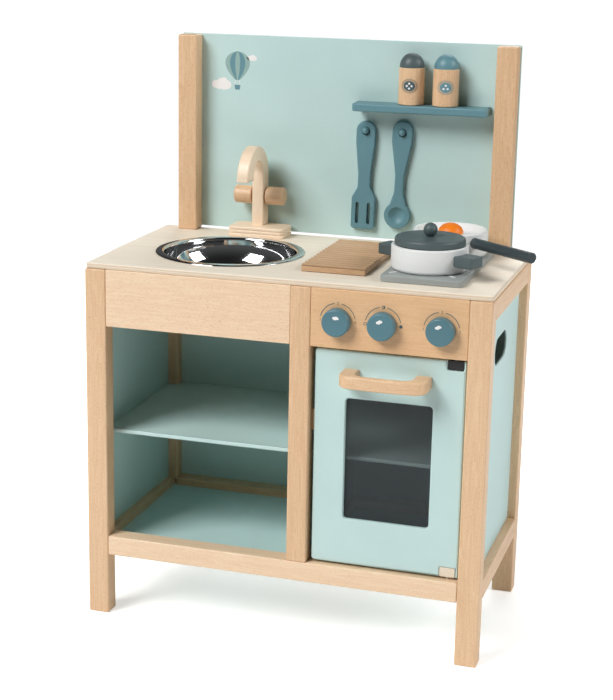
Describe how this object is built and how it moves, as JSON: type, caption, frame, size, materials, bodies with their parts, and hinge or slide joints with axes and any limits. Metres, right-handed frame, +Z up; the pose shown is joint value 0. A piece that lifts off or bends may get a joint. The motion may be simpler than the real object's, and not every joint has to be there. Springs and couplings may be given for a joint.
{
  "type": "toy kitchen",
  "caption": "Wooden toy kitchen with a splashback, sink and tap, hob, control knobs, oven door, open shelves, hanging utensils, shakers, pot, pan and cutting board.",
  "frame": {"origin": "middle of the bounding box's bottom face, on the floor under the kitchen", "axes": "+X to the kitchen's right as a child in front sees it, +Y from the front towards the wall, +Z up"},
  "size_m": [0.5944, 0.3425, 0.797],
  "materials": {
    "beech": "clear satin varnish over beech",
    "birch_ply": "clear satin varnish over plywood",
    "mint_paint": "matte water-based paint on fibreboard",
    "teal_paint": "satin paint on wood",
    "slate_paint": "satin paint on wood",
    "white_paint": "satin paint on wood",
    "hob_paint": "matte paint on wood",
    "polished_steel": "polished thin sheet",
    "zinc_steel": "zinc plated",
    "tinted_pane": "smoke tinted clear sheet",
    "black_plastic": "moulded",
    "orange_paint": "satin paint on wood"
  },
  "bodies": {
    "carcass": {"front_legs": "beech", "rear_legs": "beech", "front_bottom_rail": "beech", "rear_bottom_rail": "beech", "bottom_cross_rails": "beech", "side_top_rails": "beech", "rear_top_rail": "beech", "sink_apron": "beech", "centre_post": "beech", "control_panel": "beech", "left_side_panel": "mint_paint", "right_side_panel": "mint_paint", "back_panel": "mint_paint", "divider_panel": "mint_paint", "left_bottom_panel": "mint_paint", "oven_bottom_panel": "mint_paint", "left_shelf": "mint_paint", "oven_shelf": "mint_paint", "shelf_cleats": "beech", "worktop": "birch_ply", "hob_plate": "hob_paint", "splashback_posts": "beech", "splashback_panel": "mint_paint", "ledge": "teal_paint", "utensil_pegs": "teal_paint", "tap_base": "beech", "tap_spout": "beech", "frame_screws": "zinc_steel", "splashback_screws": "zinc_steel", "door_stop": "beech", "door_magnet": "zinc_steel"},
    "left_control": {"left_knob": "teal_paint", "left_spindle": "beech"},
    "middle_control": {"middle_knob": "teal_paint", "middle_spindle": "beech"},
    "right_control": {"right_knob": "teal_paint", "right_spindle": "beech"},
    "door": {"oven_door": "mint_paint", "door_window": "tinted_pane", "door_handle": "beech", "handle_screws": "zinc_steel", "door_strike": "zinc_steel", "upper_hinge_block": "black_plastic", "lower_hinge_block": "birch_ply", "hinge_pins": "zinc_steel"},
    "tap_handle": {"tap_axle": "beech", "tap_knobs": "beech"},
    "sink": {"sink_bowl": "polished_steel"},
    "board": {"cutting_board": "birch_ply"},
    "pot": {"pot_body": "white_paint", "pot_handles": "slate_paint"},
    "lid": {"pot_lid": "slate_paint", "lid_knob": "slate_paint"},
    "pan": {"pan_body": "white_paint", "pan_handle": "slate_paint"},
    "yolk": {"play_yolk": "orange_paint"},
    "spatula": {"spatula": "teal_paint"},
    "spoon": {"spoon": "teal_paint"},
    "salt": {"salt_shaker": "beech"},
    "pepper": {"pepper_shaker": "beech"}
  },
  "joints": [
    {"name": "door_hinge", "type": "hinge", "parent": "carcass", "child": "door", "pos_m": [0.21676, -0.12375, 0.269], "axis": [0, 0, 1], "range_deg": [0, 100]},
    {"name": "left_knob_turn", "type": "hinge", "parent": "carcass", "child": "left_control", "pos_m": [0.06016, -0.13675, 0.458], "axis": [0, 1, 0], "continuous": true},
    {"name": "middle_knob_turn", "type": "hinge", "parent": "carcass", "child": "middle_control", "pos_m": [0.12076, -0.13675, 0.458], "axis": [0, 1, 0], "continuous": true},
    {"name": "right_knob_turn", "type": "hinge", "parent": "carcass", "child": "right_control", "pos_m": [0.19776, -0.13675, 0.458], "axis": [0, 1, 0], "continuous": true},
    {"name": "tap_turn", "type": "hinge", "parent": "carcass", "child": "tap_handle", "pos_m": [-0.14199, 0.14825, 0.5665], "axis": [1, 0, 0], "continuous": true},
    {"name": "sink_lift", "type": "slide", "parent": "carcass", "child": "sink", "axis": [0, 0, 1], "range_m": [0, 0.08]},
    {"name": "board_lift", "type": "slide", "parent": "carcass", "child": "board", "axis": [0, 0, 1], "range_m": [0, 0.1]},
    {"name": "pot_lift", "type": "slide", "parent": "carcass", "child": "pot", "axis": [0, 0, 1], "range_m": [0, 0.12]},
    {"name": "lid_lift", "type": "slide", "parent": "pot", "child": "lid", "axis": [0, 0, 1], "range_m": [0, 0.06]},
    {"name": "pan_lift", "type": "slide", "parent": "carcass", "child": "pan", "axis": [0, 0, 1], "range_m": [0, 0.12]},
    {"name": "yolk_lift", "type": "slide", "parent": "pan", "child": "yolk", "axis": [0, 0, 1], "range_m": [0, 0.06]},
    {"name": "spatula_swing", "type": "hinge", "parent": "carcass", "child": "spatula", "pos_m": [0.01326, 0.16325, 0.6685], "axis": [0, 1, 0], "range_deg": [-2, 25]},
    {"name": "spoon_swing", "type": "hinge", "parent": "carcass", "child": "spoon", "pos_m": [0.06726, 0.16325, 0.6685], "axis": [0, 1, 0], "range_deg": [-20, 2]},
    {"name": "salt_lift", "type": "slide", "parent": "carcass", "child": "salt", "axis": [0, 0, 1], "range_m": [0, 0.05]},
    {"name": "pepper_lift", "type": "slide", "parent": "carcass", "child": "pepper", "axis": [0, 0, 1], "range_m": [0, 0.05]}
  ]
}
